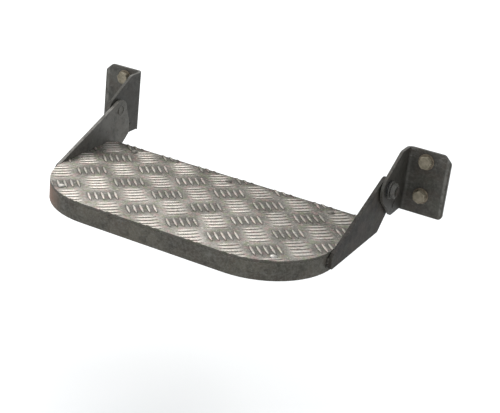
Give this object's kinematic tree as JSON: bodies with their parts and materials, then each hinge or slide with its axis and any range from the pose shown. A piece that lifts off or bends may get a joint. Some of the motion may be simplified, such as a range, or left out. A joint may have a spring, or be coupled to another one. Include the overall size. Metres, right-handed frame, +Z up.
{
  "type": "tailgate step",
  "caption": "Folding tailgate step: a chequer-plate tread in a bent flat-bar rim hangs between two cranked arms that pivot on bolt-on L brackets.",
  "frame": {"origin": "midway between the two brackets, on the plane of their back faces, level with the top of the tread", "axes": "+X to the right of someone facing the step, along its length; +Y towards the vehicle, out of the brackets' back faces; +Z up, the way a foot leaves the tread"},
  "size_m": [0.55, 0.316, 0.1123],
  "materials": {
    "tread_aluminium": "weathered bright chequer plate, dirt in the hollows, bars rubbed pale",
    "rivet_aluminium": "dull aluminium",
    "black_paint": "semi-gloss black paint over steel, scuffed, worn to metal on the top edges, rusty in places",
    "zinc_steel": "zinc plate, dulled, faintly olive",
    "spring_steel": "dark oiled spring steel",
    "bronze": "plain bearing bronze"
  },
  "bodies": {
    "mounting_brackets": {"left_bracket": "black_paint", "left_pivot_bush": "bronze", "left_stop_pin": "black_paint", "left_upper_mount_washer": "zinc_steel", "left_upper_mount_bolt": "zinc_steel", "left_lower_mount_washer": "zinc_steel", "left_lower_mount_bolt": "zinc_steel", "right_bracket": "black_paint", "right_pivot_bush": "bronze", "right_stop_pin": "black_paint", "right_upper_mount_washer": "zinc_steel", "right_upper_mount_bolt": "zinc_steel", "right_lower_mount_washer": "zinc_steel", "right_lower_mount_bolt": "zinc_steel"},
    "folding_step": {"tread_plate": "tread_aluminium", "rim_band": "black_paint", "rear_angle": "black_paint", "left_rib": "black_paint", "right_rib": "black_paint", "left_front_lug": "black_paint", "right_front_lug": "black_paint", "rivet_front_left": "rivet_aluminium", "rivet_front_right": "rivet_aluminium", "rivet_rear_left": "rivet_aluminium", "rivet_rear_middle": "rivet_aluminium", "rivet_rear_right": "rivet_aluminium", "left_arm": "black_paint", "left_friction_washer": "bronze", "left_spring_washer": "spring_steel", "left_pivot_washer": "black_paint", "left_pivot_nut": "black_paint", "left_pivot_stud": "black_paint", "right_arm": "black_paint", "right_friction_washer": "bronze", "right_spring_washer": "spring_steel", "right_pivot_washer": "black_paint", "right_pivot_nut": "black_paint", "right_pivot_stud": "black_paint"}
  },
  "joints": [
    {"name": "fold", "type": "hinge", "parent": "mounting_brackets", "child": "folding_step", "pos_m": [0, -0.064, 0.041], "axis": [-1, 0, 0], "range_deg": [0, 90]}
  ]
}
